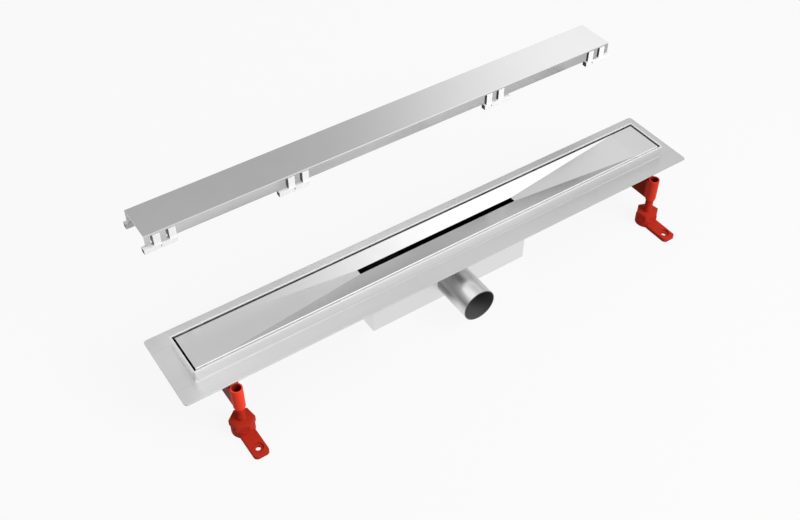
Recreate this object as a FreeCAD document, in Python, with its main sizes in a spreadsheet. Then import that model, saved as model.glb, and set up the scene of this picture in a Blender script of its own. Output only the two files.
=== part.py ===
import FreeCAD, Part
import os
import re
import Sketcher

# Linear shower drain with a dished slot cover in place and its flat cover lifted off.
# X runs along the channel, the outlet points along -Y, and Z = 0 is the floor under the feet.

# Driving dimensions, in millimetres: alias, number, meaning.
SIZES = (
    ("rim_height", 109.5, "floor under the feet to the rim"),
    ("sheet", 1.5, "stainless sheet"),
    ("collar_height", 18.0, "rim above the bonding flange"),
    ("trough_depth", 28.0, "rim to the trough floor"),
    ("opening_length", 776.0, "clear length inside the rim"),
    ("opening_width", 65.0, "clear width inside the rim"),
    ("rim_wall", 3.0, "folded rim, two sheets thick"),
    ("rim_round", 1.2, "rounding of the folded rim"),
    ("collar_corner", 3.0, "outer corner radius of the collar"),
    ("fold_radius", 1.2, "fold between flange and collar"),
    ("flange_reach", 26.5, "flange beyond the collar"),
    ("flange_corner", 5.0, "corner radius of the flange"),
    ("box_length", 261.0, "siphon box along the channel"),
    ("box_depth", 62.5, "siphon box below the trough"),
    ("box_round", 1.4, "lower bends of the siphon box"),
    ("outlet_diameter", 50.0, "outlet stub outside"),
    ("outlet_wall", 1.2, "outlet stub wall"),
    ("outlet_reach", 65.0, "outlet stub beyond the siphon box"),
    ("outlet_drop", 30.0, "outlet axis below the trough"),
    ("trap_inset", 48.5, "trap axis from the left end of the siphon box"),
    ("trap_hole", 54.0, "hole for the trap in the trough floor"),
    ("trap_rim", 61.0, "trap rim outside diameter"),
    ("trap_rim_thick", 3.0, "trap rim thickness"),
    ("trap_seal_thick", 2.0, "seal under the trap rim"),
    ("cup_diameter", 50.0, "trap cup outside"),
    ("cup_wall", 2.0, "trap cup wall"),
    ("cup_clearance", 4.0, "trap cup above the siphon box floor"),
    ("ledge_reach", 2.5, "ledge inside the cup that carries the dip tube"),
    ("ledge_thick", 2.0, "thickness of that ledge"),
    ("window_width", 24.0, "overflow windows of the cup"),
    ("window_height", 16.0, "height of the overflow windows"),
    ("window_drop", 8.0, "windows below the ledge"),
    ("dip_seal_thick", 1.0, "seal under the dip tube"),
    ("dip_play", 0.3, "play of the dip tube flange in the cup"),
    ("dip_diameter", 34.0, "dip tube outside"),
    ("dip_wall", 1.5, "dip tube wall"),
    ("dip_flange_thick", 2.0, "dip tube flange"),
    ("dip_clearance", 9.0, "dip tube above the cup floor"),
    ("strainer_play", 0.4, "play of the strainer bowl in the dip tube"),
    ("strainer_wall", 1.0, "strainer wall"),
    ("strainer_depth", 9.0, "strainer bowl below its rim"),
    ("strainer_rim", 4.0, "strainer rim beyond its bowl"),
    ("strainer_slot", 2.2, "width of the strainer's radial slots"),
    ("strainer_slot_in", 4.5, "strainer axis to its slots"),
    ("strainer_slot_out", 12.5, "strainer axis to the far end of its slots"),
    ("cover_gap", 2.5, "gap between the slot cover and the rim"),
    ("cover_skirt", 16.5, "height of the covers' folded skirts"),
    ("bend_radius", 1.0, "bends of the covers"),
    ("edge_drop", 1.0, "slot cover edge below the rim"),
    ("edge_flat", 1.3, "flat edge beside the facets"),
    ("slot_length", 261.0, "drain slot"),
    ("slot_width", 8.5, "drain slot"),
    ("slot_drop", 3.5, "slot edge below the rim"),
    ("facet_inset", 42.5, "level end zones of the slot cover"),
    ("flat_end_gap", 6.0, "gap at the ends of the flat cover when it is seated"),
    ("flat_shift_along", 9.8, "lifted flat cover along the channel"),
    ("flat_shift_back", 139.5, "lifted flat cover behind the channel"),
    ("flat_lift", 103.6, "lifted flat cover above the rim"),
    ("clip_inset", 31.0, "outer clips from the ends of the opening"),
    ("clip_pitch", 193.0, "spacing of an outer and an inner clip"),
    ("notch_pitch", 21.4, "spacing of the two notches of a clip"),
    ("notch_width", 13.5, "notch in the skirt"),
    ("notch_top", 2.6, "cover top to the notches"),
    ("tongue_drop", 3.0, "tongue between two notches below the skirt"),
    ("tab_width", 9.8, "clip tab"),
    ("tab_play", 0.2, "play between a tab and its notch"),
    ("tab_thick", 3.2, "clip tab thickness"),
    ("tab_proud", 0.8, "clip tab in front of the skirt"),
    ("foot_out", 2.0, "clip foot in front of the skirt"),
    ("foot_in", 6.0, "clip foot behind the skirt face"),
    ("foot_arm", 29.0, "long arm of the clip foot"),
    ("foot_round", 0.8, "rounding of the clip foot"),
    ("hook_width", 6.6, "hook behind the tongue"),
    ("hook_thick", 2.5, "hook thickness"),
    ("hook_top", 8.0, "cover top to the hook"),
    ("mark_size", 2.6, "moulding recess in the clip foot"),
    ("mark_depth", 1.6, "depth of that recess"),
    ("mark_offset", 6.0, "recess from the middle of a clip"),
    ("leg_inset", 37.0, "legs from the ends of the opening"),
    ("leg_out", 3.0, "front leg axes outside the flange edge"),
    ("leg_in", 2.0, "back leg axes inside the flange edge"),
    ("tube_top", 26.0, "rim to the top of the bracket tube"),
    ("tube_height", 35.5, "straight part of the bracket tube"),
    ("tube_taper", 3.5, "tapered end of the bracket tube"),
    ("tube_radius", 8.0, "bracket tube"),
    ("tube_end_radius", 6.9, "bracket tube at its lower end"),
    ("arm_width", 14.0, "bracket arm"),
    ("arm_wall", 2.6, "walls of the bracket arm"),
    ("arm_reach", 51.0, "bracket arm from the leg axis"),
    ("arm_rib", 3.0, "solid end of the bracket arm behind the tube"),
    ("step_front", 9.5, "leg axis to the raised part of the arm"),
    ("wall_play", 0.3, "bracket arm to the trough wall"),
    ("lug_span", 22.0, "bracket lugs, each side of the arm's middle"),
    ("lug_front", 8.0, "leg axis to the front of the lugs"),
    ("lug_depth", 16.0, "lugs across the channel"),
    ("lug_thick", 4.0, "lug thickness"),
    ("lug_round", 3.0, "lug corners"),
    ("stud_offset", 14.5, "weld studs from the arm's middle"),
    ("stud_diameter", 5.0, "weld studs"),
    ("stud_play", 0.15, "play of a weld stud in its slotted hole"),
    ("stud_length", 12.0, "weld studs below the flange"),
    ("nut_flats", 8.0, "bracket nuts across flats"),
    ("nut_height", 4.0, "bracket nuts"),
    ("nut_play", 0.05, "play of the nut thread"),
    ("screw_diameter", 12.0, "levelling screw"),
    ("screw_play", 0.08, "play of the levelling screw in its tube"),
    ("screw_height", 69.5, "floor to the top of the levelling screw"),
    ("screw_chamfer", 1.2, "chamfer of the levelling screw"),
    ("hexagon_flats", 30.0, "hexagon of the levelling screw"),
    ("hexagon_height", 10.0, "height of that hexagon"),
    ("hexagon_chamfer", 0.8, "chamfer of that hexagon"),
    ("spigot_diameter", 10.0, "spigot under the hexagon"),
    ("spigot_length", 7.0, "length of the spigot"),
    ("spigot_play", 0.06, "play of the spigot in the pad"),
    ("spigot_space", 0.5, "space under the spigot"),
    ("pad_height", 12.0, "round boss of the foot pad"),
    ("pad_radius", 16.0, "round boss of the foot pad"),
    ("pad_arm_width", 22.0, "arm of the foot pad"),
    ("pad_arm_thick", 5.5, "arm of the foot pad"),
    ("pad_arm_reach", 53.5, "leg axis to the end of the pad"),
    ("pad_arm_round", 6.0, "end corners of the pad"),
    ("pad_edge", 0.8, "chamfer of the pad's upper edges"),
    ("anchor_reach", 40.0, "leg axis to the anchor hole"),
    ("anchor_diameter", 7.0, "anchor hole"),
    ("anchor_sink", 15.0, "recess for the screw head"),
    ("anchor_sink_depth", 2.5, "depth of that recess"),
)

# Lengths and heights that follow from the driving dimensions.
DERIVED = {
    "flange_top": "rim_height - collar_height",
    "flange_under": "flange_top - sheet",
    "trough_floor": "rim_height - trough_depth",
    "trough_under": "trough_floor - sheet",
    "collar_length": "opening_length + 2 * rim_wall",
    "collar_width": "opening_width + 2 * rim_wall",
    "flange_length": "collar_length + 2 * flange_reach",
    "flange_width": "collar_width + 2 * flange_reach",
    "trough_length": "opening_length + 2 * sheet",
    "trough_width": "opening_width + 2 * sheet",
    "box_base": "trough_under - box_depth",
    "outlet_height": "trough_under - outlet_drop",
    "trap_offset": "box_length / 2 - trap_inset",
    "outlet_bore": "outlet_diameter / 2 - outlet_wall",
    "rim_seat": "trough_floor + trap_seal_thick",
    "trap_top": "rim_seat + trap_rim_thick",
    "cup_bore": "cup_diameter / 2 - cup_wall",
    "cup_base": "box_base + sheet + cup_clearance",
    "ledge_top": "trap_top - dip_flange_thick - dip_seal_thick",
    "ledge_bore": "cup_bore - ledge_reach",
    "dip_bore": "dip_diameter / 2 - dip_wall",
    "strainer_radius": "dip_bore - strainer_play",
    "slot_cover_length": "opening_length - 2 * cover_gap",
    "cover_width": "opening_width - 2 * cover_gap",
    "slot_cover_top": "rim_height - edge_drop",
    "dish_depth": "slot_drop - edge_drop",
    "facet_length": "slot_cover_length - 2 * facet_inset",
    "flat_cover_length": "opening_length - 2 * flat_end_gap",
    "outer_clip": "opening_length / 2 - clip_inset",
    "inner_clip": "outer_clip - clip_pitch",
    "clip_drop": "trough_depth - edge_drop",
    "foot_top": "cover_skirt + tongue_drop",
    "foot_short": "notch_pitch / 2 + notch_width / 2",
    "leg_spacing": "opening_length - 2 * leg_inset",
    "front_leg_y": "flange_width / 2 + leg_out",
    "back_leg_y": "flange_width / 2 - leg_in",
    "tube_top_height": "rim_height - tube_top",
    "tube_low": "tube_top_height - tube_height",
    "tube_end": "tube_low - tube_taper",
    "wall_face": "back_leg_y - trough_width / 2 - wall_play",
    "lug_middle": "lug_front + lug_depth / 2",
    "stud_line": "(front_leg_y + back_leg_y) / 2 - lug_middle",
    "stud_hole": "stud_diameter + 2 * stud_play",
    "hexagon_top": "pad_height + hexagon_height",
}

NUMBERS = {alias: number for alias, number, meaning in SIZES}

DOC = FreeCAD.newDocument("linear_shower_drain")
SHEET = DOC.addObject("Spreadsheet::Sheet", "Sizes")
for row, (alias, number, meaning) in enumerate(SIZES, 1):
    SHEET.set(f"A{row}", meaning)
    SHEET.set(f"B{row}", str(number))
    SHEET.setAlias(f"B{row}", alias)
DOC.recompute()


def bound(text):
    """An expression on the sheet, from a sum of plain size names."""

    def swap(match):
        word = match.group(0)
        if word in DERIVED:
            return f"({bound(DERIVED[word])})"
        return f"Sizes.{word}" if word in NUMBERS else word

    return re.sub(r"[a-z_]+", swap, text)


def rectangle(x_low, x_high, y_low, y_high):
    return [(x_low, y_low), (x_high, y_low), (x_high, y_high), (x_low, y_high)]


def middle_rectangle(length, width):
    return rectangle(f"-({length}) / 2", f"({length}) / 2", f"-({width}) / 2", f"({width}) / 2")


def circle(x, y, diameter):
    return (x, y, diameter)


def upright(edge):
    start, end = edge.Vertexes[0].Point, edge.Vertexes[-1].Point
    return abs(end.z - start.z) > 1e-3 and (end - start).Length - abs(end.z - start.z) < 1e-6


def level_at(edge, height):
    box = edge.BoundBox
    return abs(box.ZMin - height) < 1e-4 and abs(box.ZMax - height) < 1e-4


class Piece:
    """One solid of the drain: a PartDesign body whose sketches lie on its own planes."""

    def __init__(self, label):
        self.body = DOC.addObject("PartDesign::Body", label)
        self.body.Label = label

    def sketch(self, name, plane, offset, profiles):
        """A sketch with every profile tied to the sheet: a list of corners, or a circle."""
        sketch = self.body.newObject("Sketcher::SketchObject", name)
        planes = self.body.Origin.OriginFeatures
        sketch.AttachmentSupport = [(next(p for p in planes if p.Role == f"{plane}_Plane"), "")]
        sketch.MapMode = "FlatFace"
        sketch.setExpression("AttachmentOffset.Base.z", bound(offset))
        self.draw(sketch, profiles)
        return sketch

    def draw(self, sketch, profiles):
        shapes = []
        ties = []
        sizes = {}
        for profile in profiles:
            first = len(shapes)
            if isinstance(profile, tuple):
                shapes.append(Part.Circle(FreeCAD.Vector(), FreeCAD.Vector(0, 0, 1), 1))
                spots = [(first, 3, 0.0, 0.0, profile[0], profile[1])]
                sizes[len(ties)] = profile[2]
                ties.append(Sketcher.Constraint("Diameter", first, 1.0))
            else:
                count = len(profile)
                starts = [FreeCAD.Vector(i, i * i, 0) for i in range(count)]
                for i in range(count):
                    shapes.append(Part.LineSegment(starts[i], starts[(i + 1) % count]))
                    joint = (first + i, 2, first + (i + 1) % count, 1)
                    ties.append(Sketcher.Constraint("Coincident", *joint))
                spots = [
                    (first + i, 1, starts[i].x, starts[i].y, x, y)
                    for i, (x, y) in enumerate(profile)
                ]
            for shape, point, start_x, start_y, x, y in spots:
                for kind, start, text in (("DistanceX", start_x, x), ("DistanceY", start_y, y)):
                    sizes[len(ties)] = text
                    ties.append(Sketcher.Constraint(kind, -1, 1, shape, point, start))
        sketch.addGeometry(shapes)
        sketch.addConstraint(ties)
        for index, text in sizes.items():
            sketch.setExpression(f"Constraints[{index}]", bound(text))

    def feature(self, kind, name, plane, offset, length, profiles):
        feature = self.body.newObject(f"PartDesign::{kind}", name)
        feature.Profile = self.sketch(f"{name}_sketch", plane, offset, profiles)
        if length:
            feature.setExpression("Length", bound(length))
        return feature

    def add(self, name, plane, offset, length, *profiles):
        """Pad along the plane's normal: +Z on XY, -Y on XZ, +X on YZ."""
        return self.feature("Pad", name, plane, offset, length, profiles)

    def cut(self, name, plane, offset, length, *profiles):
        """Pocket against the plane's normal: -Z on XY, +Y on XZ, -X on YZ."""
        return self.feature("Pocket", name, plane, offset, length, profiles)

    def turn(self, name, profile):
        """Revolution about Z of a profile of radius and height."""
        feature = self.feature("Revolution", name, "XZ", "0", None, [profile])
        feature.ReferenceAxis = (feature.Profile[0], ["V_Axis"])
        feature.Angle = 360
        return feature

    def hip(self, kind, name, low, height, low_size, high_size):
        """Four sloping faces between two level rectangles, each given as length and width."""
        feature = self.body.newObject(f"PartDesign::{kind}Wedge", name)
        feature.Placement.Rotation = FreeCAD.Rotation(FreeCAD.Vector(1, 0, 0), 90)
        feature.setExpression("Placement.Base.z", bound(low))
        feature.Ymin = 0
        feature.setExpression("Ymax", bound(height))
        for level, size in (("", low_size), ("2", high_size)):
            for axis, text in zip("XZ", size):
                feature.setExpression(f"{axis}{level}min", bound(f"-({text}) / 2"))
                feature.setExpression(f"{axis}{level}max", bound(f"({text}) / 2"))
        return feature

    def dress(self, kind, name, size, chosen):
        """Fillet or chamfer of the edges that the test picks on the body as it stands."""
        DOC.recompute()
        tip = self.body.Tip
        picked = [f"Edge{i}" for i, edge in enumerate(tip.Shape.Edges, 1) if chosen(edge)]
        feature = self.body.newObject(f"PartDesign::{kind}", name)
        feature.Base = (tip, picked)
        feature.setExpression("Radius" if kind == "Fillet" else "Size", bound(size))
        return feature

    def box(self):
        DOC.recompute()
        return self.body.Tip.Shape.BoundBox

    def place(self, x, y, z="0", turned=False):
        for axis, text in zip("xyz", (x, y, z)):
            self.body.setExpression(f"Placement.Base.{axis}", bound(text))
        if turned:
            self.body.Placement.Rotation = FreeCAD.Rotation(FreeCAD.Vector(0, 0, 1), 180)
        return self


def channel_body():
    """Flange, collar and trough: one folded and welded stainless sheet."""
    piece = Piece("channel_body")
    piece.add("flange", "XY", "flange_under", "sheet", middle_rectangle("flange_length", "flange_width"))
    piece.dress("Fillet", "flange_corners", "flange_corner", upright)
    piece.add(
        "collar", "XY", "flange_under", "collar_height + sheet",
        middle_rectangle("collar_length", "collar_width"),
    )
    rim = piece.box().ZMax
    piece.dress(
        "Fillet", "collar_corners", "collar_corner",
        lambda edge: upright(edge) and abs(edge.BoundBox.ZMax - rim) < 1e-4,
    )
    piece.add(
        "trough", "XY", "trough_under", "trough_depth - collar_height",
        middle_rectangle("trough_length", "trough_width"),
    )
    piece.cut(
        "trough_space", "XY", "rim_height", "trough_depth",
        middle_rectangle("opening_length", "opening_width"),
    )
    piece.cut("trap_hole", "XY", "trough_floor", "sheet", circle("-trap_offset", "0", "trap_hole"))
    piece.dress("Fillet", "rim_edges", "rim_round", lambda edge: level_at(edge, rim))
    flange_top = rim - NUMBERS["collar_height"]
    collar = NUMBERS["opening_width"] / 2 + NUMBERS["rim_wall"]
    piece.dress(
        "Fillet", "collar_fold", "fold_radius",
        lambda edge: level_at(edge, flange_top) and abs(edge.BoundBox.Center.y) < collar + 1e-3,
    )
    return piece


def siphon_box():
    """Welded box under the trough; the trap hangs in it and the outlet leaves its front."""
    piece = Piece("siphon_box")
    piece.add("shell", "XY", "box_base", "box_depth", middle_rectangle("box_length", "trough_width"))
    base = piece.box().ZMin
    piece.dress(
        "Fillet", "bends", "box_round",
        lambda edge: level_at(edge, base) and edge.BoundBox.YLength < 1e-4,
    )
    piece.cut(
        "chamber", "XY", "trough_under", "box_depth - sheet",
        middle_rectangle("box_length - 2 * sheet", "opening_width"),
    )
    piece.cut(
        "outlet_hole", "XZ", "trough_width / 2", "sheet",
        circle("0", "outlet_height", "2 * (outlet_bore)"),
    )
    return piece


def outlet_pipe():
    """Stub that the waste pipe's socket slides over."""
    piece = Piece("outlet_pipe")
    piece.add(
        "stub", "XZ", "trough_width / 2", "outlet_reach",
        circle("0", "outlet_height", "outlet_diameter"),
        circle("0", "outlet_height", "2 * (outlet_bore)"),
    )
    return piece


def seal(label, low, thick, inside, outside):
    piece = Piece(label)
    piece.add("ring", "XY", low, thick, circle("0", "0", outside), circle("0", "0", inside))
    return piece.place("-trap_offset", "0")


def trap_cup():
    """Cup that hangs from its rim in the trough and holds the water."""
    piece = Piece("trap_cup")
    piece.turn("wall", [
        ("0", "cup_base"),
        ("cup_diameter / 2", "cup_base"),
        ("cup_diameter / 2", "rim_seat"),
        ("trap_rim / 2", "rim_seat"),
        ("trap_rim / 2", "trap_top"),
        ("cup_bore", "trap_top"),
        ("cup_bore", "ledge_top"),
        ("ledge_bore", "ledge_top"),
        ("ledge_bore", "ledge_top - ledge_thick"),
        ("cup_bore", "ledge_top - ledge_thick"),
        ("cup_bore", "cup_base + cup_wall"),
        ("0", "cup_base + cup_wall"),
    ])
    top = "ledge_top - ledge_thick - window_drop"
    window = rectangle("-window_width / 2", "window_width / 2", f"{top} - window_height", top)
    piece.cut("windows_across", "XZ", "cup_diameter", "2 * cup_diameter", window)
    piece.cut("windows_along", "YZ", "cup_diameter", "2 * cup_diameter", window)
    return piece.place("-trap_offset", "0")


def dip_tube():
    """Tube that dips into the cup and lifts out for cleaning."""
    piece = Piece("dip_tube")
    low = "cup_base + cup_wall + dip_clearance"
    seat = "ledge_top + dip_seal_thick"
    piece.turn("wall", [
        ("dip_bore", low),
        ("dip_diameter / 2", low),
        ("dip_diameter / 2", seat),
        ("cup_bore - dip_play", seat),
        ("cup_bore - dip_play", "trap_top"),
        ("dip_bore", "trap_top"),
    ])
    return piece.place("-trap_offset", "0")


def hair_strainer():
    """Perforated bowl in the mouth of the dip tube."""
    piece = Piece("hair_strainer")
    floor = "trap_top - strainer_depth"
    piece.turn("bowl", [
        ("0", floor),
        ("strainer_radius", floor),
        ("strainer_radius", "trap_top"),
        ("strainer_radius + strainer_rim", "trap_top"),
        ("strainer_radius + strainer_rim", "trap_top + strainer_wall"),
        ("strainer_radius - strainer_wall", "trap_top + strainer_wall"),
        ("strainer_radius - strainer_wall", f"{floor} + strainer_wall"),
        ("0", f"{floor} + strainer_wall"),
    ])
    slots = []
    half = "strainer_slot / 2"
    for angle in range(0, 360, 45):
        ends = ("strainer_slot_in", "strainer_slot_out", "strainer_slot_out", "strainer_slot_in")
        slots.append([
            (
                f"{reach} * cos({angle}) {side} {half} * sin({angle})",
                f"{reach} * sin({angle}) {other} {half} * cos({angle})",
            )
            for reach, side, other in zip(ends, "++--", "--++")
        ])
    piece.cut("slots", "XY", f"{floor} + strainer_wall", "strainer_wall", *slots)
    return piece.place("-trap_offset", "0")


def clip_places():
    """Middle of each clip along a cover, from left to right."""
    return ("-outer_clip", "-inner_clip", "inner_clip", "outer_clip")


def clip_notches(piece, top):
    """Two notches for each clip, through both skirts, with a longer tongue between them."""
    notches = []
    tongues = []
    for middle in clip_places():
        for side in ("-", "+"):
            centre = f"{middle} {side} notch_pitch / 2"
            notches.append(rectangle(
                f"{centre} - notch_width / 2", f"{centre} + notch_width / 2",
                f"{top} - cover_skirt - sheet", f"{top} - notch_top",
            ))
        half = "(notch_pitch - notch_width) / 2"
        tongues.append(rectangle(
            f"{middle} - {half}", f"{middle} + {half}",
            f"{top} - foot_top", f"{top} - cover_skirt",
        ))
    piece.cut("clip_notches", "XZ", "cover_width", "2 * (cover_width)", *notches)
    piece.add("front_tongues", "XZ", "cover_width / 2 - sheet", "sheet", *tongues)
    piece.add("back_tongues", "XZ", "-(cover_width) / 2", "sheet", *tongues)


def slot_cover():
    """Dished cover: four facets fall from its edges to a long slot."""
    piece = Piece("slot_cover")
    top = "slot_cover_top"
    outline = middle_rectangle("slot_cover_length", "cover_width")
    piece.add("tray", "XY", f"{top} - cover_skirt", "cover_skirt", outline)
    high = piece.box().ZMax
    piece.dress("Fillet", "bends", "bend_radius", lambda edge: level_at(edge, high))
    underside = piece.cut(
        "underside", "XY", f"{top} - cover_skirt", "cover_skirt - sheet",
        middle_rectangle("slot_cover_length - 2 * sheet", "cover_width - 2 * sheet"),
    )
    underside.Reversed = True
    piece.hip(
        "Additive", "belly", f"{top} - sheet - dish_depth", "dish_depth",
        ("slot_length + 2 * sheet", "slot_width + 2 * sheet"),
        ("facet_length", "cover_width - 2 * sheet"),
    )
    piece.hip(
        "Subtractive", "dish", f"{top} - dish_depth", "dish_depth",
        ("slot_length", "slot_width"),
        ("facet_length", "cover_width - 2 * edge_flat"),
    )
    piece.cut("slot", "XY", top, "dish_depth + 2 * sheet", middle_rectangle("slot_length", "slot_width"))
    clip_notches(piece, top)
    return piece


def flat_cover():
    """Plain cover folded down at its long sides, lifted off the channel."""
    piece = Piece("flat_cover")
    outline = middle_rectangle("flat_cover_length", "cover_width")
    piece.add("tray", "XY", "-cover_skirt", "cover_skirt", outline)
    piece.dress(
        "Fillet", "bends", "bend_radius",
        lambda edge: level_at(edge, 0) and edge.BoundBox.YLength < 1e-4,
    )
    underside = piece.cut(
        "underside", "XY", "-cover_skirt", "cover_skirt - sheet",
        middle_rectangle("flat_cover_length + 2 * sheet", "cover_width - 2 * sheet"),
    )
    underside.Reversed = True
    clip_notches(piece, "0")
    return piece.place("flat_shift_along", "flat_shift_back", "rim_height + flat_lift")


def cover_clip(label, left_arm):
    """Moulded clip: two tabs in the notches, a hook behind the tongue and a foot below."""
    piece = Piece(label)
    left, right = ("foot_arm", "foot_short") if left_arm else ("foot_short", "foot_arm")
    piece.add(
        "foot", "YZ", f"-({left})", f"{left} + {right}",
        rectangle("-foot_out", "foot_in", "-(clip_drop)", "-(foot_top)"),
    )
    low = piece.box().ZMin
    front = piece.box().YMin
    piece.dress(
        "Fillet", "foot_edges", "foot_round",
        lambda edge: abs(edge.BoundBox.YMax - front) < 1e-4 and edge.BoundBox.ZMin - low < 1e-4,
    )
    tabs = []
    for side in ("-", "+"):
        right_edge = f"{side}notch_pitch / 2 + notch_width / 2 - tab_play"
        tabs.append(rectangle(f"{right_edge} - tab_width", right_edge, "-(foot_top)", "-notch_top"))
    piece.add("tabs", "XZ", "-(tab_thick - tab_proud)", "tab_thick", *tabs)
    piece.add(
        "hook", "XZ", "-(sheet + hook_thick)", "hook_thick",
        rectangle("-hook_width / 2", "hook_width / 2", "-(foot_top)", "-hook_top"),
    )
    height = "-(clip_drop + foot_top) / 2"
    piece.cut(
        "moulding_mark", "XZ", "foot_out", "mark_depth",
        rectangle(
            "-mark_offset - mark_size / 2", "-mark_offset + mark_size / 2",
            f"{height} - mark_size / 2", f"{height} + mark_size / 2",
        ),
    )
    return piece


def cover_clips(prefix, along, back, top):
    """Four clips on the front skirt and four on the back skirt of a cover."""
    clips = []
    for side, sign, turned in (("front", "-", False), ("back", "+", True)):
        for number, middle in enumerate(clip_places(), 1):
            outward_left = (number <= 2) != turned
            clip = cover_clip(f"{prefix}_clip_{side}_{number}", outward_left)
            clips.append(clip.place(
                f"{along} + {middle}", f"{back} {sign} (cover_width) / 2", top, turned
            ))
    return clips


def leg_bracket(label):
    """Bracket under the flange and trough, with the tube that the levelling screw runs in."""
    piece = Piece(label)
    piece.turn("tube", [
        ("0", "tube_end"),
        ("tube_end_radius", "tube_end"),
        ("tube_radius", "tube_low"),
        ("tube_radius", "tube_top_height"),
        ("0", "tube_top_height"),
    ])
    half = "arm_width / 2"
    piece.add(
        "arm", "XY", "tube_low", "trough_under - tube_low",
        rectangle(f"-{half}", half, "0", "arm_reach"),
    )
    piece.add(
        "arm_step", "XY", "trough_under", "flange_under - trough_under",
        rectangle(f"-{half}", half, "step_front", "wall_face"),
    )
    piece.add(
        "lugs", "XY", "flange_under - lug_thick", "lug_thick",
        rectangle("-lug_span", "lug_span", "lug_front", "lug_front + lug_depth"),
    )
    corner = NUMBERS["lug_span"]
    piece.dress(
        "Fillet", "lug_corners", "lug_round",
        lambda edge: upright(edge) and abs(abs(edge.BoundBox.Center.x) - corner) < 1e-4,
    )
    hollow = piece.cut(
        "arm_hollow", "XY", "tube_low", "trough_under - tube_low - arm_wall",
        rectangle(
            f"-{half} + arm_wall", f"{half} - arm_wall",
            "tube_radius + arm_rib", "arm_reach - arm_wall",
        ),
    )
    hollow.Reversed = True
    piece.cut(
        "screw_bore", "XY", "tube_top_height + collar_height", "rim_height",
        circle("0", "0", "screw_diameter + 2 * screw_play"),
    )
    half_slot = "(stud_hole + leg_out + leg_in) / 2"
    slots = [
        rectangle(
            f"{hand}stud_offset - stud_hole / 2", f"{hand}stud_offset + stud_hole / 2",
            f"lug_middle - {half_slot}", f"lug_middle + {half_slot}",
        )
        for hand in ("-", "")
    ]
    piece.cut("stud_slots", "XY", "flange_under", "lug_thick", *slots)
    return piece


def leg_screw(label):
    """Levelling screw with its hexagon and the spigot that turns in the pad."""
    piece = Piece(label)
    radius = "screw_diameter / 2"
    piece.turn("screw", [
        ("0", "pad_height - spigot_length"),
        ("spigot_diameter / 2", "pad_height - spigot_length"),
        ("spigot_diameter / 2", "pad_height"),
        (radius, "pad_height"),
        (radius, "screw_height - screw_chamfer"),
        (f"{radius} - screw_chamfer", "screw_height"),
        ("0", "screw_height"),
    ])
    corners = [
        (f"hexagon_flats / sqrt(3) * cos({angle})", f"hexagon_flats / sqrt(3) * sin({angle})")
        for angle in range(30, 390, 60)
    ]
    piece.add("hexagon", "XY", "pad_height", "hexagon_height", corners)
    top = NUMBERS["pad_height"] + NUMBERS["hexagon_height"]
    piece.dress(
        "Chamfer", "hexagon_edges", "hexagon_chamfer",
        lambda edge: level_at(edge, top) and edge.Curve.TypeId == "Part::GeomLine",
    )
    return piece


def leg_pad(label):
    """Key-shaped foot: round boss, flat arm and a sunk anchor hole."""
    piece = Piece(label)
    piece.add("boss", "XY", "0", "pad_height", circle("0", "0", "2 * pad_radius"))
    piece.add(
        "arm", "XY", "0", "pad_arm_thick",
        rectangle("-pad_arm_width / 2", "pad_arm_width / 2", "-pad_arm_reach", "0"),
    )
    end = piece.box().YMin
    piece.dress(
        "Fillet", "arm_corners", "pad_arm_round",
        lambda edge: upright(edge) and abs(edge.BoundBox.Center.y - end) < 1e-4,
    )
    top = NUMBERS["pad_height"]
    arm_top = NUMBERS["pad_arm_thick"]
    boss = NUMBERS["pad_radius"]
    piece.dress(
        "Chamfer", "upper_edges", "pad_edge",
        lambda edge: level_at(edge, top)
        or (level_at(edge, arm_top) and edge.BoundBox.YMin < -boss),
    )
    piece.cut(
        "socket", "XY", "pad_height", "spigot_length + spigot_space",
        circle("0", "0", "spigot_diameter + 2 * spigot_play"),
    )
    piece.cut(
        "head_recess", "XY", "pad_arm_thick", "anchor_sink_depth",
        circle("0", "-anchor_reach", "anchor_sink"),
    )
    piece.cut("anchor_hole", "XY", "pad_height", "pad_height", circle("0", "-anchor_reach", "anchor_diameter"))
    return piece


def legs():
    """Four legs, the back pair turned round so that all pads point away from the channel."""
    pieces = []
    for side, across, turned in (("front", "-(front_leg_y)", False), ("back", "back_leg_y", True)):
        for hand, along in (("left", "-leg_spacing / 2"), ("right", "leg_spacing / 2")):
            for build in (leg_bracket, leg_screw, leg_pad):
                piece = build(f"{build.__name__}_{side}_{hand}")
                pieces.append(piece.place(along, across, "0", turned))
    return pieces


def fastener_spots():
    """Where the weld studs stand, two at each bracket, the same distance front and back."""
    spots = []
    for across in ("-", ""):
        for along in ("-", ""):
            for hand in ("-", "+"):
                x = f"{along}leg_spacing / 2 {hand} stud_offset"
                spots.append((x, f"{across}(stud_line)"))
    return spots


def weld_studs():
    """Studs welded under the flange, one node of eight solids."""
    studs = []
    for x, y in fastener_spots():
        stud = DOC.addObject("Part::Cylinder", "weld_stud")
        stud.setExpression("Radius", bound("stud_diameter / 2"))
        stud.setExpression("Height", bound("stud_length"))
        for axis, text in zip("xyz", (x, y, "flange_under - stud_length")):
            stud.setExpression(f"Placement.Base.{axis}", bound(text))
        studs.append(stud)
    return group("weld_studs", studs)


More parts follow.
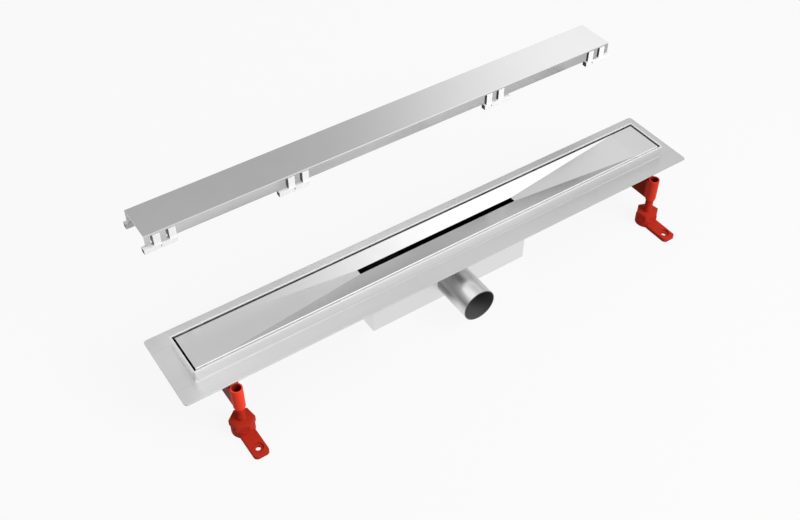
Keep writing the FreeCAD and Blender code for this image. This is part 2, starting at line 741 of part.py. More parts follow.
def bracket_nuts():
    """Nuts that clamp the lugs to the flange, one node of eight solids."""
    nuts = []
    for x, y in fastener_spots():
        nut = DOC.addObject("Part::Prism", "nut_blank")
        nut.Polygon = 6
        nut.setExpression("Circumradius", bound("nut_flats / sqrt(3)"))
        nut.setExpression("Height", bound("nut_height"))
        bore = DOC.addObject("Part::Cylinder", "nut_bore")
        bore.setExpression("Radius", bound("stud_diameter / 2 + nut_play"))
        bore.setExpression("Height", bound("nut_height"))
        for solid in (nut, bore):
            for axis, text in zip("xyz", (x, y, "flange_under - lug_thick - nut_height")):
                solid.setExpression(f"Placement.Base.{axis}", bound(text))
        cut = DOC.addObject("Part::Cut", "nut")
        cut.Base = nut
        cut.Tool = bore
        nuts.append(cut)
    return group("bracket_nuts", nuts)


def group(label, solids):
    compound = DOC.addObject("Part::Compound", label)
    compound.Label = label
    compound.Links = solids
    return compound


def build_drain():
    pieces = [
        channel_body(),
        siphon_box(),
        outlet_pipe(),
        seal("trap_seal", "trough_floor", "trap_seal_thick", "trap_hole", "trap_rim"),
        trap_cup(),
        seal("dip_seal", "ledge_top", "dip_seal_thick", "2 * (ledge_bore)", "2 * (cup_bore - dip_play)"),
        dip_tube(),
        hair_strainer(),
        slot_cover(),
        flat_cover(),
    ]
    pieces += cover_clips("slot_cover", "0", "0", "slot_cover_top")
    pieces += cover_clips(
        "flat_cover", "flat_shift_along", "flat_shift_back", "rim_height + flat_lift"
    )
    pieces += legs()
    return [piece.body for piece in pieces] + [weld_studs(), bracket_nuts()]


def write_parts(parts):
    """Recompute, check every object and solid, and write one STEP file for each piece."""
    DOC.recompute()
    for item in DOC.Objects:
        if "Invalid" in item.State or "Error" in item.State:
            raise RuntimeError(f"{item.Label} did not build: {item.State}")
    os.makedirs("parts", exist_ok=True)
    for part in parts:
        shape = part.Shape
        if shape.isNull() or not shape.isValid() or not shape.Solids:
            raise RuntimeError(f"{part.Label} has no valid solid")
        shape.exportStep(f"parts/{part.Label}.step")
        box = shape.BoundBox
        print(
            f"{part.Label}: {len(shape.Solids)} solid, {shape.Volume / 1000:.1f} cm3, "
            f"{box.XLength:.1f} x {box.YLength:.1f} x {box.ZLength:.1f} mm"
        )


write_parts(build_drain())
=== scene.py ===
"""Looks of a linear shower drain: stainless channel, two covers, siphon box and levelling feet."""

import math

import bmesh
import bpy
from mathutils import Matrix, Vector


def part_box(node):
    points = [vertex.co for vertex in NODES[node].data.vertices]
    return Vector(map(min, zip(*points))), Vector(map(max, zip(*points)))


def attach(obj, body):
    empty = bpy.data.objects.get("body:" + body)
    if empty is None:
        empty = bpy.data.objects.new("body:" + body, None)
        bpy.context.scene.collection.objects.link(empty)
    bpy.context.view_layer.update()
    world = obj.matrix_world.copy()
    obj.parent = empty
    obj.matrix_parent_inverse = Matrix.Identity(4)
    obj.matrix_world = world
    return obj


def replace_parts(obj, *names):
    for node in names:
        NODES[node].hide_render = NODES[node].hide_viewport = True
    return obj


bl_info = {
    "name": "Linear Shower Drain",
    "version": (1, 0, 0),
    "blender": (4, 5, 0),
    "location": "View3D > Sidebar > Drain",
    "description": "Materials, welds, screw threads and studio for a packed linear shower drain",
    "category": "Object",
}

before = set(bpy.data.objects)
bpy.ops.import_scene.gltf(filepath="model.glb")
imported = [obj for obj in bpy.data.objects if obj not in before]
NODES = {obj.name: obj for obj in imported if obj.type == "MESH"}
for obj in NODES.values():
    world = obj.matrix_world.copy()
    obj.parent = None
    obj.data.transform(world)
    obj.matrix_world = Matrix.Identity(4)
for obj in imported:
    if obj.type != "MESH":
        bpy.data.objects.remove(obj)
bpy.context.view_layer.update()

MM = 0.001
LEGS = [f"{side}_{hand}" for side in ("front", "back") for hand in ("left", "right")]

# The channel: its flange beyond the collar, and its rim above the flange.
FLANGE_REACH = 26.5 * MM
COLLAR_HEIGHT = 18.0 * MM

# The slot cover, from its middle: the ends and sides of its slot and of its four facets.
SLOT_END = 130.5 * MM
SLOT_SIDE = 4.25 * MM
FACET_END = 343.0 * MM
FACET_SIDE = 28.7 * MM

# Painted reflections: how bright the steel is painted along X: the level at the left, then each change
# with the places, in metres, where it starts and ends, and how much it adds. COLLAR_WALL is how much
# brighter than the flange the collar is painted.
CHANNEL_FRONT = (1.10, (-0.45, -0.05, -0.21), (0.05, 0.20, -0.03), (0.22, 0.36, 0.03))
CHANNEL_BACK = (1.19, (-0.05, 0.40, -0.31))
COLLAR_WALL = (0.12, (-0.30, -0.10, 0.26), (0.15, 0.35, -0.12))
DISH_FRONT = (1.03, (-0.32, -0.14, -0.25), (-0.05, 0.05, 0.05), (0.08, 0.26, -0.20))
DISH_BACK = (0.84, (-0.30, 0.20, 0.38))
DISH_ENDS = (0.99, (-0.14, 0.14, -0.22), (0.18, 0.36, 0.10))
FLAT_TOP = (0.91, (-0.25, 0.15, 0.15), (0.05, 0.35, 0.20))
FLAT_SKIRT = (0.81, (-0.25, -0.10, 0.21), (-0.05, 0.08, -0.15), (0.12, 0.24, -0.05), (0.24, 0.36, -0.26))

# Painted reflections round the outlet stub, at its mouth and at its root: degrees from +X towards +Z, and
# how bright.
MOUTH_REFLECTIONS = (
    (-180.0, 0.60), (-60.0, 0.68), (0.0, 0.82), (35.0, 0.45), (65.0, 0.86),
    (90.0, 0.44), (122.0, 1.0), (150.0, 0.40), (180.0, 0.60),
)
ROOT_REFLECTIONS = (
    (-180.0, 0.23), (-165.0, 0.44), (-60.0, 0.64), (0.0, 0.52), (60.0, 0.60), (88.0, 0.84),
    (118.0, 0.42), (148.0, 0.46), (165.0, 0.18), (180.0, 0.23),
)

# Soft glows of the room: degrees from +Y towards +X, degrees up, inner and outer radius, strength.
GLOWS = (
    (48.0, 51.0, 4.0, 12.0, 0.60),
    (46.0, 34.5, 5.0, 13.0, 0.40),
    (148.0, 50.0, 14.0, 24.0, 0.80),
    (-36.0, 44.6, 3.0, 10.0, 0.50),
    (-50.0, 24.0, 10.0, 24.0, 0.40),
)

# How the room's light changes upwards: the sines of the angles between which a change runs, and its amount.
SKY = ((0.62, 0.80, 0.22), (0.80, 0.94, 0.45), (0.93, 0.985, -0.50))

# Sockets of a Mix node that mixes colours.
MIX_AMOUNT, MIX_FIRST, MIX_SECOND, MIX_COLOUR = 0, 6, 7, 2


def middle_of(node):
    """Middle of a CAD node's box."""
    low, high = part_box(node)
    return (low + high) / 2


class Value:
    """A socket of a shader whose arithmetic adds Math nodes."""

    def __init__(self, shader, socket):
        self.shader = shader
        self.socket = socket

    def join(self, operation, first, second=None, third=None):
        values = [v for v in (first, second, third) if v is not None]
        inputs = dict(enumerate(values))
        return self.shader.add("ShaderNodeMath", {"operation": operation}, inputs)

    def __add__(self, other):
        return self.join("ADD", self, other)

    def __radd__(self, other):
        return self.join("ADD", other, self)

    def __sub__(self, other):
        return self.join("SUBTRACT", self, other)

    def __rsub__(self, other):
        return self.join("SUBTRACT", other, self)

    def __mul__(self, other):
        return self.join("MULTIPLY", self, other)

    def __rmul__(self, other):
        return self.join("MULTIPLY", other, self)

    def __truediv__(self, other):
        return self.join("DIVIDE", self, other)

    def __pow__(self, other):
        return self.join("POWER", self, other)

    def __abs__(self):
        return self.join("ABSOLUTE", self)

    def at_least(self, other):
        return self.join("MAXIMUM", self, other)

    def at_most(self, other):
        return self.join("MINIMUM", self, other)

    def above(self, other):
        return self.join("GREATER_THAN", self, other)

    def below(self, other):
        return self.join("LESS_THAN", self, other)

    def near(self, middle, reach):
        return self.join("COMPARE", self, middle, reach)

    def clamped(self, low=0.0):
        return self.at_most(1.0).at_least(low)

    def swing(self, amount):
        """What a noise around one half adds, up or down."""
        return (self - 0.5) * amount

    def toward(self, other, share):
        """This value where the share is 0 and the other where it is 1."""
        return self + (other - self) * share

    def turn_from(self, across):
        """Share of a turn, from 0 to 1, at which a point with this height and distance across lies."""
        return self.join("ARCTAN2", self, across) / math.tau + 0.5

    def ramp(self, low, high, start=0.0, end=1.0):
        """Smooth step from start to end while the value goes from low to high."""
        inputs = {"Value": self, "From Min": low, "From Max": high, "To Min": start, "To Max": end}
        return self.shader.add("ShaderNodeMapRange", {"interpolation_type": "SMOOTHSTEP"}, inputs)

    def steps(self, level, *changes):
        """A level that changes smoothly: each change has its low, its high and the amount that it adds."""
        for low, high, amount in changes:
            level = level + self.ramp(low, high, 0.0, amount)
        return level

    def streaks(self, stops):
        """Grey levels at their degrees round an axis, for a value that goes from 0 to 1 in one turn."""
        greys = [(degrees / 360.0 + 0.5, (level, level, level, 1.0)) for degrees, level in stops]
        return self.shader.add("ShaderNodeValToRGB", {"stops": greys}, {"Fac": self})


class Shader:
    """A node tree that is filled by one method."""

    def __init__(self, tree):
        self.tree = tree
        tree.nodes.clear()

    def add(self, kind, settings=None, inputs=None, output=0):
        node = self.tree.nodes.new(kind)
        for name, setting in (settings or {}).items():
            if name == "stops":
                self.fill_ramp(node.color_ramp, setting)
            else:
                setattr(node, name, setting)
        for name, value in (inputs or {}).items():
            if isinstance(value, Value):
                self.tree.links.new(value.socket, node.inputs[name])
            else:
                node.inputs[name].default_value = value
        return Value(self, node.outputs[output]) if node.outputs else node

    def fill_ramp(self, ramp, stops):
        while len(ramp.elements) < len(stops):
            ramp.elements.new(0.5)
        for element, (position, colour) in zip(ramp.elements, stops):
            element.position = position
            element.color = colour

    def place(self):
        """Object coordinates, and their X, Y and Z, in metres."""
        point = self.add("ShaderNodeTexCoord", output="Object")
        return point, *[self.part(point, i) for i in range(3)]

    def part(self, vector, axis):
        """X, Y or Z of a vector, as axis 0, 1 or 2."""
        return self.add("ShaderNodeSeparateXYZ", inputs={"Vector": vector}, output=axis)

    def stretched(self, point, scale):
        return self.add("ShaderNodeMapping", inputs={"Vector": point, "Scale": scale})

    def noise(self, point, scale, detail=3.0, roughness=0.5):
        inputs = {"Vector": point, "Scale": scale, "Detail": detail, "Roughness": roughness}
        return self.add("ShaderNodeTexNoise", inputs=inputs)

    def blend(self, amount, first, second, mode="MIX"):
        """Colour mix of two colours."""
        settings = {"data_type": "RGBA", "blend_type": mode}
        inputs = {MIX_AMOUNT: amount, MIX_FIRST: first, MIX_SECOND: second}
        return self.add("ShaderNodeMix", settings, inputs, output=MIX_COLOUR)

    def bump(self, height, strength, distance):
        """Relief on a surface whose sharp edges look slightly rounded."""
        rounded = self.add("ShaderNodeBevel", {"samples": 4}, {"Radius": 0.3 * MM})
        inputs = {"Height": height, "Strength": strength, "Distance": distance, "Normal": rounded}
        return self.add("ShaderNodeBump", inputs=inputs)


def rgba(colour, level=1.0):
    return (colour[0] * level, colour[1] * level, colour[2] * level, 1.0)


def new_material(name):
    material = bpy.data.materials.new(name)
    material.use_nodes = True
    return material, Shader(material.node_tree)


def close_material(shader, settings):
    surface = shader.add("ShaderNodeBsdfPrincipled", inputs=settings)
    shader.add("ShaderNodeOutputMaterial", inputs={"Surface": surface})


def brushed_steel(name, colour, roughness, grain_scale, polish=0.0, tone_of=None):
    """Stainless sheet with a fine grain; grain_scale is how fast it varies along X, Y and Z."""
    material, shader = new_material(name)
    point, x, y, z = shader.place()
    strand_scale = [scale * 0.31 for scale in grain_scale]
    grain = shader.noise(shader.stretched(point, grain_scale), scale=1.0, detail=4.0, roughness=0.6)
    strand = shader.noise(shader.stretched(point, strand_scale), scale=1.0, detail=2.0)
    cloud = shader.noise(point, scale=9.0)
    smudge = shader.noise(point, scale=38.0, detail=4.0, roughness=0.65)
    streak_and_reflection = grain.swing(0.10) + strand.swing(0.08) + cloud.swing(0.07)
    shade = shader.blend((streak_and_reflection + 0.5).clamped(), rgba(colour, 0.88), rgba(colour, 1.12))
    nonmetal_share = 0.0
    # tone_of gives painted light and shade, multiplied into the colour, and the share that isn't metal.
    if tone_of:
        tone, nonmetal_share = tone_of(x, y, z)
        shade = shader.blend(1.0, shade, tone, "MULTIPLY")
    rough = roughness + grain.swing(0.10) + smudge.swing(0.08)
    close_material(shader, {
        "Base Color": shade,
        "Metallic": 1.0 - nonmetal_share,
        "Roughness": rough.clamped(low=0.04),
        "Normal": shader.bump(grain + strand * 0.6, 0.10 * (1.0 - polish), 0.06 * MM),
    })
    return material


def channel_tone(x, y, z):
    """How bright the channel is painted, and its share that isn't metal: painted reflections on the satin
    outside, painted highlights on the rim and collar feet, painted shade at the left end and in the trough.
    """
    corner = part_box("channel_body")[1]
    collar_end, collar_side = corner.x - FLANGE_REACH, corner.y - FLANGE_REACH
    rim, flange = corner.z, corner.z - COLLAR_HEIGHT
    # Painted reflections along X, different at the front and at the back.
    outside = x.steps(*CHANNEL_FRONT).toward(x.steps(*CHANNEL_BACK), y.ramp(-30.0 * MM, 30.0 * MM))
    # Painted reflection: the collar wall brighter than the flange.
    wall = z.ramp(flange + 1.0 * MM, flange + 4.0 * MM) * x.steps(*COLLAR_WALL)
    # Painted shade towards the left end.
    collar = 1.0 + wall - x.ramp(-412.0 * MM, -385.0 * MM, 0.12, 0.0)
    # Painted highlights on the rim's top and along the collar's feet, where the steel is also less
    # metallic.
    rim_edge = z.above(rim - 0.6 * MM)
    left_foot = x.near(-collar_end - 0.5 * MM, 3.0 * MM) * z.near(flange + 1.8 * MM, 1.4 * MM)
    front_foot = y.near(-collar_side - 1.0 * MM, 2.7 * MM) * z.near(flange + 1.2 * MM, 0.8 * MM)
    beside = abs(abs(y) - (collar_side + 0.7 * MM)).below(0.4 * MM)
    seam = beside * abs(x).above(collar_end + 1.0 * MM) * z.below(flange + 0.7 * MM)
    # Nearly black painted shade in the trough under the cover; near the right end it starts lower.
    right_gap = x.above(collar_end - 5.0 * MM) * (6.0 * MM)
    under_rim = (z + right_gap).below(rim - 2.7 * MM)
    inside = abs(x).below(collar_end - 1.9 * MM) * y.near(1.3 * MM, 32.3 * MM) * under_rim
    lines = 1.0 + rim_edge * 0.16 + left_foot * 0.22 + front_foot * 0.23 - seam * 0.09
    return outside * collar * lines * (1.0 - inside * 0.96), left_foot * 0.7 + front_foot * 0.3


def slot_cover_tone(x, y, z):
    """How bright each facet of the slot cover is painted, with painted reflections that differ from facet
    to facet, a painted highlight on its front edge, painted light on its skirts, which are not metal, and
    painted shade under it and in its slot.
    """
    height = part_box("slot_cover")[1].z
    slope = (FACET_END - SLOT_END) / (FACET_SIDE - SLOT_SIDE)
    fold = (abs(y) - SLOT_SIDE) * slope + SLOT_END
    long_facet = (fold - abs(x)).ramp(-0.6 * MM, 0.6 * MM)
    dish = x.steps(*DISH_FRONT).toward(x.steps(*DISH_BACK), y.ramp(-1.0 * MM, 1.0 * MM))
    top = x.steps(*DISH_ENDS).toward(dish, long_facet)
    # Painted highlight on the front edge, and painted light on the skirts.
    edge = y.below(-FACET_SIDE - 0.1 * MM) * z.above(height - 0.5 * MM)
    skirt = abs(y).above(FACET_SIDE + 1.0 * MM) * z.below(height - 0.4 * MM)
    # Painted shade under the cover and in its slot.
    under = z.below(height - 10.0 * MM)
    throat = abs(x).below(SLOT_END + 0.05 * MM) * abs(y).below(SLOT_SIDE + 0.05 * MM)
    shade = (1.0 - under * 0.8) * (1.0 - throat * 0.9)
    highlight_level = 1.2
    return top.toward(highlight_level, (edge + skirt).at_most(1.0)) * shade, skirt


def flat_cover_tone(x, y, z):
    """Painted reflections on the flat cover: its top lightens along its length, and its skirts are painted
    darker.
    """
    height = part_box("flat_cover")[1].z
    return x.steps(*FLAT_TOP).toward(x.steps(*FLAT_SKIRT), z.below(height - 0.9 * MM)), 0.0


def tube_tone(x, y, z):
    """Painted reflections round the outlet stub, which change from its mouth to its root, and painted shade
    in its bore and on its end face.
    """
    mouth, bore_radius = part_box("outlet_pipe")[0].y, 24.3 * MM
    brightness, painted_bore_shade = 1.25, 0.11
    rise = z - middle_of("outlet_pipe").z
    turn = rise.turn_from(x)
    root_share = y.ramp(mouth + 12.0 * MM, mouth + 41.0 * MM)
    # Painted reflections: the mouth's bands blend into the root's.
    streak_and_reflection = turn.streaks(MOUTH_REFLECTIONS).toward(turn.streaks(ROOT_REFLECTIONS), root_share) * brightness
    radius = (x * x + rise * rise) ** 0.5
    # The bore and the mouth's end face are painted dark as shade, and are not metal.
    nonmetal_share = (radius.below(bore_radius) + y.below(mouth + 0.2 * MM)).at_most(1.0)
    return streak_and_reflection.toward(painted_bore_shade, nonmetal_share), nonmetal_share


def moulded_plastic(name, colour, roughness, gloss=0.1, tone_of=None):
    """Injection-moulded plastic with a fine matt texture and faint flow marks."""
    material, shader = new_material(name)
    point, x, y, z = shader.place()
    fine = shader.noise(point, scale=1400.0, detail=2.0)
    flow = shader.noise(shader.stretched(point, (60.0, 60.0, 18.0)), scale=1.0, detail=4.0, roughness=0.6)
    patch = shader.noise(point, scale=45.0)
    marks = (flow.swing(0.5) + patch.swing(0.5) + 0.5).clamped()
    shade = shader.blend(marks, rgba(colour, 0.90), rgba(colour, 1.08))
    # tone_of gives painted light and shade, multiplied into the colour.
    if tone_of:
        shade = shader.blend(1.0, shade, tone_of(x, y, z), "MULTIPLY")
    close_material(shader, {
        "Base Color": shade,
        "Specular IOR Level": gloss,
        "Roughness": (roughness + patch.swing(0.12) + fine.swing(0.06)).clamped(),
        "Normal": shader.bump(fine + flow * 0.3, 0.12, 0.05 * MM),
    })
    return material


def bracket_tone(x, y, z):
    """Painted shade on the bracket's arm, under the channel, and in its tube's bore, and painted light on
    its tube, stronger on the left.
    """
    front, back = middle_of("leg_screw_front_right"), middle_of("leg_screw_back_right")
    reach = (back.y - front.y) / 2
    away = abs(y - (front.y + back.y) / 2)
    along, across = abs(abs(x) - front.x), abs(away - reach)
    arm = away.below(reach - 7.7 * MM)
    bore = ((along * along + across * across) ** 0.5).below(6.2 * MM)
    tube = (1.0 - arm) * x.ramp(-200.0 * MM, 200.0 * MM, 1.0, 0.42)
    return (1.0 - arm * 0.45) * (1.0 - bore * 0.7) * (1.0 + tube)


def clip_tone(x, y, z):
    """The clips' ends and flanks, which lie in the notches' shade."""
    facing = x.shader.add("ShaderNodeNewGeometry", output="True Normal")
    return 1.0 - x.shader.part(facing, 0).below(-0.8) * 0.9


def rubber(name, colour):
    """Matt rubber with a little dust on it."""
    material, shader = new_material(name)
    point = shader.place()[0]
    fine = shader.noise(point, scale=900.0)
    dust = shader.noise(point, scale=70.0, detail=4.0, roughness=0.7)
    dust_grey = (0.16, 0.16, 0.16)
    close_material(shader, {
        "Base Color": shader.blend(dust.ramp(0.45, 0.75, 0.0, 0.35), rgba(colour), rgba(dust_grey)),
        "Roughness": 0.68 + fine.swing(0.2),
        "Normal": shader.bump(fine, 0.25, 0.08 * MM),
    })
    return material


def dress(material, *nodes):
    """Gives CAD nodes their material."""
    for node in nodes:
        mesh = NODES[node].data
        if not mesh.materials:
            mesh.materials.append(material)
        for i in range(len(mesh.materials)):
            mesh.materials[i] = material


def new_piece(name, bm, body, material, smooth=True):
    """A piece of the object from a finished bmesh, riding on a CAD body."""
    bmesh.ops.remove_doubles(bm, verts=bm.verts, dist=1e-6)
    bmesh.ops.recalc_face_normals(bm, faces=bm.faces)
    mesh = bpy.data.meshes.new(name)
    bm.to_mesh(mesh)
    bm.free()
    if smooth:
        mesh.shade_smooth()
        mesh.set_sharp_from_angle(angle=math.radians(35))
    mesh.materials.append(material)
    piece = bpy.data.objects.new(name, mesh)
    bpy.context.scene.collection.objects.link(piece)
    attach(piece, body)
    return piece


def smoothed(node, material):
    """A merged, smooth-shaded copy of a CAD node of the drain's body, which stands for it."""
    bm = bmesh.new()
    bm.from_mesh(NODES[node].data)
    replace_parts(new_piece(f"{node}_smooth", bm, "drain", material), node)


def bead(name, points, radius, material):
    """Weld bead along a line of points, with the ripples that a welder leaves."""
    last = len(points) - 1
    closed = points[0] == points[last]
    bm = bmesh.new()
    rings = []
    for i, point in enumerate(points):
        ahead = points[min(i + 1, last)] - points[max(i - 1, 0)]
        turn = ahead.to_track_quat("Z", "Y").to_matrix().to_4x4()
        tapered = i in (0, last) and not closed
        size = radius * (0.35 if tapered else 1.0 + 0.14 * math.sin(i * 1.9))
        made = bmesh.ops.create_circle(
            bm, segments=8, radius=size, cap_ends=False, matrix=Matrix.Translation(point) @ turn,
        )
        rings.append(list(dict.fromkeys(edge for vert in made["verts"] for edge in vert.link_edges)))
    for first, second in zip(rings, rings[1:]):
        bmesh.ops.bridge_loops(bm, edges=first + second)
    if not closed:
        bmesh.ops.edgeloop_fill(bm, edges=rings[0] + rings[last])
    new_piece(name, bm, "drain", material)


def outlet_weld(radius, material):
    """Bead round the outlet stub, where it meets the box."""
    low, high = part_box("outlet_pipe")
    middle = middle_of("outlet_pipe")
    sunk, steps = 0.3 * MM, 120
    face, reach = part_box("siphon_box")[0].y - sunk, (high.x - low.x) / 2 + sunk
    ring = []
    for i in range(steps):
        angle = math.tau * i / steps
        ring.append(Vector((middle.x + reach * math.cos(angle), face, middle.z + reach * math.sin(angle))))
    bead("outlet_weld", ring + ring[:1], radius, material)


def box_seams(radius, material):
    """Beads along the top of the box, where it meets the channel."""
    low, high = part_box("siphon_box")
    sunk, steps = 0.4 * MM, 200
    for side, y in (("front", low.y), ("back", high.y)):
        line = [Vector((low.x + (high.x - low.x) * i / steps, y, high.z - sunk)) for i in range(steps + 1)]
        bead(f"box_seam_{side}", line, radius, material)


def clip_shade_plates(thick, material):
    """Plates behind the tabs of the flat cover's clips, flush with the flanks beside the notches' gaps:
    their left faces carry painted shade, which fills the gaps.
    """
    foot_arm = 29.0 * MM
    foot_out = 2.0 * MM
    flanks = (-13.95 * MM, 7.45 * MM)
    behind_face, depth = 2.3 * MM, 9.0 * MM
    inset = 0.02 * MM
    foot_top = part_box("flat_cover")[0].z
    bm = bmesh.new()
    for name in sorted(node for node in NODES if node.startswith("flat_cover_clip")):
        low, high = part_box(name)
        # Clips 1 and 2 have their foot's long arm on the left, clips 3 and 4 on the right.
        middle = low.x + foot_arm if name[-1] in "12" else high.x - foot_arm
        inward, face = (1.0, low.y + foot_out) if "_front_" in name else (-1.0, high.y - foot_out)
        size = Vector((thick, depth, high.z - foot_top))
        for flank in flanks:
            x = middle + inward * (flank + inset + thick / 2)
            y = face + inward * (behind_face + depth / 2)
            place = Vector((x, y, (high.z + foot_top) / 2))
            bmesh.ops.create_cube(bm, size=1.0, matrix=Matrix.LocRotScale(place, None, size))
    new_piece("flat_cover_clip_shade_plates", bm, "drain", material, smooth=False)


def rod(bm, axis, segments, radius, low, high, turn=0.0):
    """Upright prism round an axis, between two heights; returns its vertices."""
    place = Matrix.Translation(axis + Vector((0.0, 0.0, (low + high) / 2)))
    made = bmesh.ops.create_cone(
        bm, cap_ends=True, segments=segments, radius1=radius, radius2=radius, depth=high - low,
        matrix=place @ Matrix.Rotation(turn, 4, "Z"),
    )
    return made["verts"]


def thread(bm, axis, low, high, pitch):
    """Thread wound round the screw's core from one height to another."""
    root, crest = 5.0 * MM, 6.0 * MM
    steps = 28
    flank = ((root, 0.2 * MM), (crest, 1.1 * MM), (crest, 1.5 * MM), (root, 2.4 * MM))
    profile = [bm.verts.new(axis + Vector((radius, 0.0, low + rise))) for radius, rise in flank]
    face = bm.faces.new(profile)
    count = int((high - low) / pitch * steps)
    bmesh.ops.spin(
        bm, geom=[face, *face.edges, *face.verts], cent=axis, axis=(0.0, 0.0, 1.0),
        dvec=(0.0, 0.0, pitch / steps), angle=math.tau * count / steps, steps=count, use_merge=False,
    )


def levelling_screw(leg, sizes, material):
    """Levelling screw with a cut thread, its hexagon turned as it stands, and its spigot in the pad."""
    low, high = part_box(f"leg_screw_{leg}")
    middle = middle_of(f"leg_screw_{leg}")
    axis = Vector((middle.x, middle.y, 0.0))
    lift = 0.04 * MM
    hexagon_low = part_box(f"leg_pad_{leg}")[1].z + lift
    hexagon_top = 22.0 * MM
    corner_radius = sizes.hexagon / math.sqrt(3.0)
    thread_end = 3.5 * MM
    bm = bmesh.new()
    rod(bm, axis, 24, 4.8 * MM, low.z + lift, hexagon_low)
    rod(bm, axis, 32, 5.3 * MM, hexagon_low, high.z)
    corners = rod(bm, axis, 6, corner_radius, hexagon_low, hexagon_top, sizes.hexagon_turn)
    edges = dict.fromkeys(edge for vert in corners for edge in vert.link_edges)
    top_edges = [edge for edge in edges if all(vert.co.z > hexagon_top - MM for vert in edge.verts)]
    bmesh.ops.bevel(
        bm, geom=top_edges, offset=0.8 * MM, segments=2, profile=0.5, material=-1, affect="EDGES",
    )
    thread(bm, axis, hexagon_top, high.z - thread_end, sizes.thread_pitch)
    piece = new_piece(f"screw_{leg}_threaded", bm, f"screw_{leg}", material)
    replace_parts(piece, f"leg_screw_{leg}")


class DrainColours(bpy.types.PropertyGroup):
    """Colours of the drain's materials"""

    channel: bpy.props.FloatVectorProperty(
        name="Channel", description="Satin stainless of the channel and its flange",
        subtype="COLOR", size=3, min=0.0, max=1.0, default=(0.80, 0.80, 0.80),
    )
    cover: bpy.props.FloatVectorProperty(
        name="Covers", description="Brushed stainless of both covers",
        subtype="COLOR", size=3, min=0.0, max=1.0, default=(0.78, 0.78, 0.78),
    )
    box: bpy.props.FloatVectorProperty(
        name="Siphon box", description="Stainless of the box under the channel",
        subtype="COLOR", size=3, min=0.0, max=1.0, default=(0.80, 0.80, 0.80),
    )
    pipe: bpy.props.FloatVectorProperty(
        name="Outlet", description="Polished stainless of the outlet stub",
        subtype="COLOR", size=3, min=0.0, max=1.0, default=(1.0, 1.0, 1.0),
    )
    feet: bpy.props.FloatVectorProperty(
        name="Feet", description="Red plastic of the levelling feet",
        subtype="COLOR", size=3, min=0.0, max=1.0, default=(0.472, 0.029, 0.0145),
    )
    clips: bpy.props.FloatVectorProperty(
        name="Clips", description="White plastic of the cover clips",
        subtype="COLOR", size=3, min=0.0, max=1.0, default=(0.93, 0.93, 0.93),
    )
    trap: bpy.props.FloatVectorProperty(
        name="Trap", description="Grey plastic of the trap",
        subtype="COLOR", size=3, min=0.0, max=1.0, default=(0.020, 0.021, 0.022),
    )
    seals: bpy.props.FloatVectorProperty(
        name="Seals", description="Black rubber of the trap's seals",
        subtype="COLOR", size=3, min=0.0, max=1.0, default=(0.02, 0.02, 0.02),
    )


class DrainSizes(bpy.types.PropertyGroup):
    """Sizes of the pieces that are added to the CAD model"""

    outlet_bead: bpy.props.FloatProperty(
        name="Outlet bead", description="Radius of the weld bead round the outlet",
        subtype="DISTANCE", unit="LENGTH", min=0.0, precision=4, default=1.1 * MM,
    )
    box_bead: bpy.props.FloatProperty(
        name="Box bead", description="Radius of the weld beads along the siphon box",
        subtype="DISTANCE", unit="LENGTH", min=0.0, precision=4, default=0.9 * MM,
    )
    # Thickness of the plates behind the clips' tabs, whose left faces carry painted shade into the notches'
    # gaps.
    shade_plate: bpy.props.FloatProperty(
        name="Clip ribs", description="Thickness of the ribs behind the clips' tabs",
        subtype="DISTANCE", unit="LENGTH", min=0.0, precision=4, default=1.2 * MM,
    )
    thread_pitch: bpy.props.FloatProperty(
        name="Thread", description="Pitch of the levelling screws' thread",
        subtype="DISTANCE", unit="LENGTH", min=2.4 * MM, precision=4, default=2.5 * MM,
    )
    hexagon: bpy.props.FloatProperty(
        name="Hexagon", description="Levelling screws' hexagon across its flats",
        subtype="DISTANCE", unit="LENGTH", min=0.0, precision=4, default=30.0 * MM,
    )
    hexagon_turn: bpy.props.FloatProperty(
        name="Hexagon turn", description="How far the hexagons are turned as the screws stand",
        subtype="ANGLE", default=math.radians(9.0),
    )


class DrainStage(bpy.types.PropertyGroup):
    """Floor, light and camera"""

    floor_size: bpy.props.FloatProperty(
        name="Floor", description="Side of the floor", subtype="DISTANCE", unit="LENGTH", default=16.0,
    )
    lens: bpy.props.FloatProperty(
        name="Lens", description="Focal length on a 36 mm sensor", unit="CAMERA", default=46.93,
    )
    camera_place: bpy.props.FloatVectorProperty(
        name="Camera", description="Where the camera stands", subtype="TRANSLATION", unit="LENGTH",
        size=3, default=(-0.6269, -0.8361, 1.1059),
    )
    camera_yaw: bpy.props.FloatProperty(
        name="Yaw", description="Camera turned from +Y towards +X", subtype="ANGLE",
        default=math.radians(33.94),
    )
    camera_pitch: bpy.props.FloatProperty(
        name="Pitch", description="Camera tilted down", subtype="ANGLE", default=math.radians(45.18),
    )
    room_light: bpy.props.FloatProperty(
        name="Room", description="Plain light of the room", min=0.0, default=0.50,
    )
    key_light: bpy.props.FloatProperty(
        name="Key", description="Power of the softbox in front", subtype="POWER", unit="POWER",
        default=36.0,
    )


